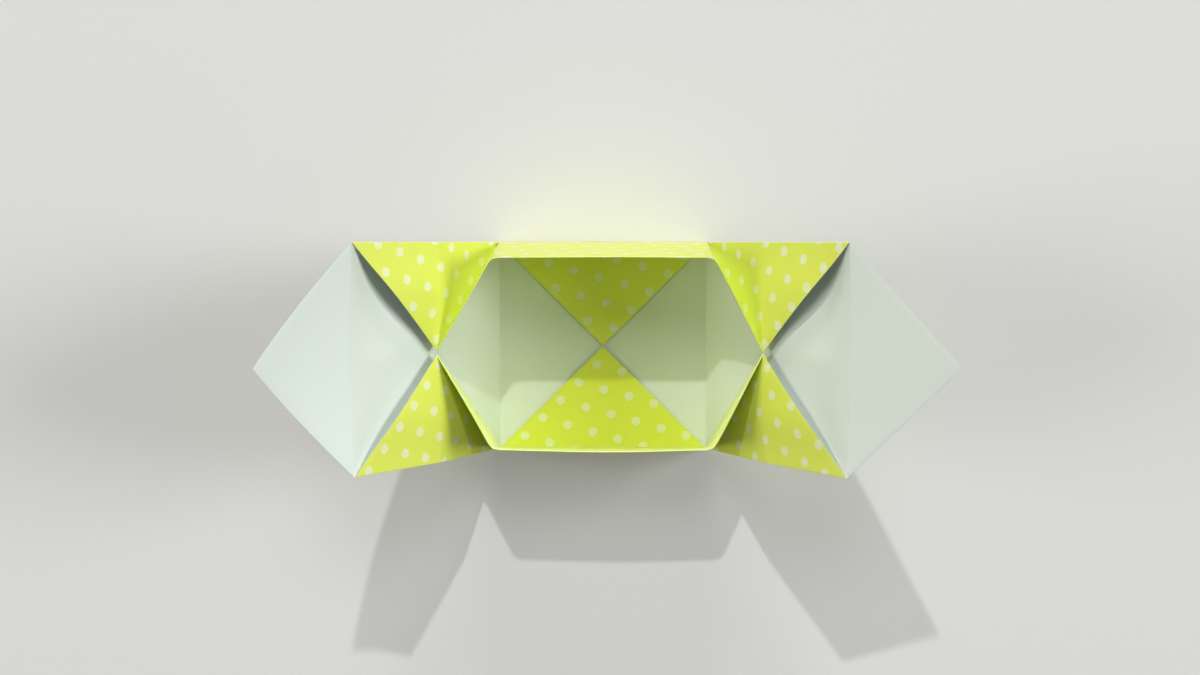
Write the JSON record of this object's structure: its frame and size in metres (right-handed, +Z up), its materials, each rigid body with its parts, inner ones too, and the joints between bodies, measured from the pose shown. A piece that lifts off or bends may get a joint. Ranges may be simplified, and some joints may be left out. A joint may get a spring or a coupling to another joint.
{
  "type": "folded paper box",
  "caption": "Open box folded from a square sheet of dotted paper, with leaning side walls, a hexagonal rim and a raised pointed wing at each end.",
  "frame": {"origin": "middle of the floor's underside", "axes": "+Z up, +X along the box's length towards the right wing, +Y towards one long wall"},
  "size_m": [0.15, 0.053, 0.0638],
  "materials": {
    "paper": "thin craft paper, yellow-green with white dots on one side and plain white on the other, matt"
  },
  "bodies": {
    "root": {"folded_sheet": "paper"}
  },
  "joints": []
}
